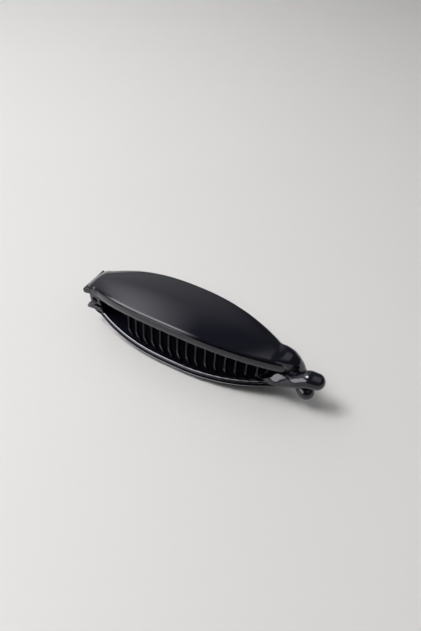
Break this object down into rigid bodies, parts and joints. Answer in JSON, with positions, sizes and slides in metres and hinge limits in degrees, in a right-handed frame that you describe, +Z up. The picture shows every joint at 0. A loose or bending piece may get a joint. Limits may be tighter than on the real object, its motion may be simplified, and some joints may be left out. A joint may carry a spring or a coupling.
{
  "type": "banana hair clip",
  "caption": "Closed banana hair clip: two bowed leaf-shaped arms with comb teeth, hinged at one end and hooked round each other at the other.",
  "frame": {"origin": "centre of the clip's footprint, on the surface it lies on", "axes": "+X along the clip from hinge to clasp, +Z up, +Y towards the row of teeth that belongs to the lower arm"},
  "size_m": [0.1075, 0.0254, 0.0282],
  "materials": {
    "upper_plastic": "glossy moulded black",
    "lower_plastic": "glossy moulded black",
    "pin_plastic": "moulded black"
  },
  "bodies": {
    "base": {"lower_arm": "lower_plastic", "hinge_pin": "pin_plastic"},
    "top": {"upper_arm": "upper_plastic"}
  },
  "joints": [
    {"name": "hinge", "type": "hinge", "parent": "base", "child": "top", "pos_m": [-0.04895, 0, 0.0141], "axis": [0, -1, 0], "range_deg": [0, 55]}
  ]
}
